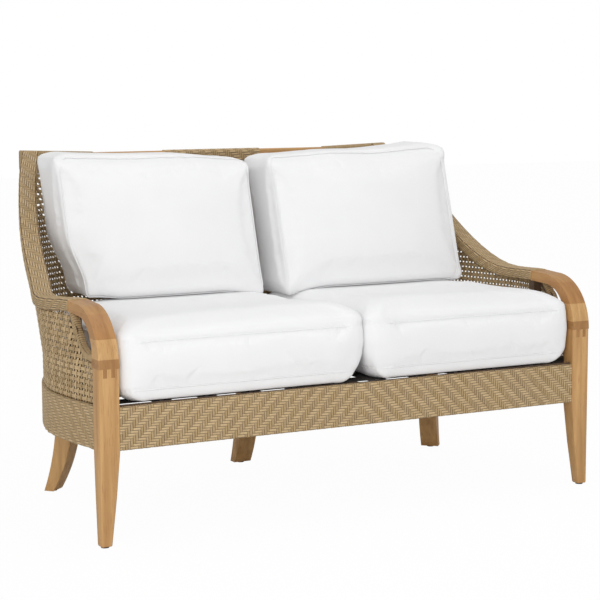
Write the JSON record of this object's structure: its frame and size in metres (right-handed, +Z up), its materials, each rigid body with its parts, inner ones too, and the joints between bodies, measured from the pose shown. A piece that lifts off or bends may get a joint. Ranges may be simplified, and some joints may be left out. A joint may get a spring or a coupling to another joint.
{
  "type": "patio loveseat",
  "caption": "Outdoor two-seat sofa with bow-shaped wooden arms, a woven wicker shell that sweeps up to the back, and loose boxed seat and back cushions.",
  "frame": {"origin": "on the floor, at the middle of the footprint's length and depth", "axes": "+X across the seat towards the sitter's left hand, which is the right of the front view; +Y from the front of the seat to the back; +Z up"},
  "size_m": [1.4686, 0.904, 0.91],
  "materials": {
    "teak": "satin",
    "frame_wood": "matte",
    "wicker": "matte",
    "webbing": "matte",
    "steel": "satin",
    "glide_plastic": "matte",
    "canvas": "matte",
    "cushion_core": "matte"
  },
  "bodies": {
    "frame": {"front_leg_right": "teak", "front_leg_left": "teak", "arm_bow_right": "teak", "arm_bow_left": "teak", "back_top_rail": "teak", "rear_leg_right": "teak", "rear_leg_left": "teak", "rear_leg_middle": "teak", "wing_rail_right": "frame_wood", "wing_rail_left": "frame_wood", "arm_post_right": "frame_wood", "arm_post_left": "frame_wood", "side_edge_core_right": "frame_wood", "side_edge_core_left": "frame_wood", "front_seat_rail": "frame_wood", "side_seat_rail_right": "frame_wood", "side_seat_rail_left": "frame_wood", "rear_seat_rail_right": "frame_wood", "rear_seat_rail_left": "frame_wood", "middle_seat_rail": "frame_wood", "corner_block_right": "frame_wood", "corner_block_left": "frame_wood", "back_post_left": "frame_wood", "back_post_middle": "frame_wood", "back_post_right": "frame_wood", "rail_dowels": "frame_wood", "bow_dowels": "frame_wood", "apron_weave": "wicker", "side_band_right": "wicker", "side_band_left": "wicker", "back_band": "wicker", "side_cane_right": "wicker", "side_cane_left": "wicker", "back_cane": "wicker", "wing_wrap_right": "wicker", "wing_wrap_left": "wicker", "side_edge_wrap_right": "wicker", "side_edge_wrap_left": "wicker", "top_wrap_right": "wicker", "top_wrap_left": "wicker", "top_wrap_middle": "wicker", "cross_straps": "webbing", "long_straps": "webbing", "block_screws": "steel", "strap_tacks": "steel", "leg_glides": "glide_plastic"},
    "seat_cushion_right": {"seat_cushion_cover_right": "canvas", "seat_cushion_core_right": "cushion_core"},
    "seat_cushion_left": {"seat_cushion_cover_left": "canvas", "seat_cushion_core_left": "cushion_core"},
    "back_cushion_right": {"back_cushion_cover_right": "canvas", "back_cushion_core_right": "cushion_core"},
    "back_cushion_left": {"back_cushion_cover_left": "canvas", "back_cushion_core_left": "cushion_core"}
  },
  "joints": [
    {"name": "seat_cushion_right_slide", "type": "slide", "parent": "frame", "child": "seat_cushion_right", "axis": [0, -1, 0], "range_m": [0, 0.6]},
    {"name": "back_cushion_right_lift", "type": "slide", "parent": "frame", "child": "back_cushion_right", "axis": [0, 0.284, 0.9588], "range_m": [0, 0.45]},
    {"name": "seat_cushion_left_slide", "type": "slide", "parent": "frame", "child": "seat_cushion_left", "axis": [0, -1, 0], "range_m": [0, 0.6]},
    {"name": "back_cushion_left_lift", "type": "slide", "parent": "frame", "child": "back_cushion_left", "axis": [0, 0.284, 0.9588], "range_m": [0, 0.45]}
  ]
}
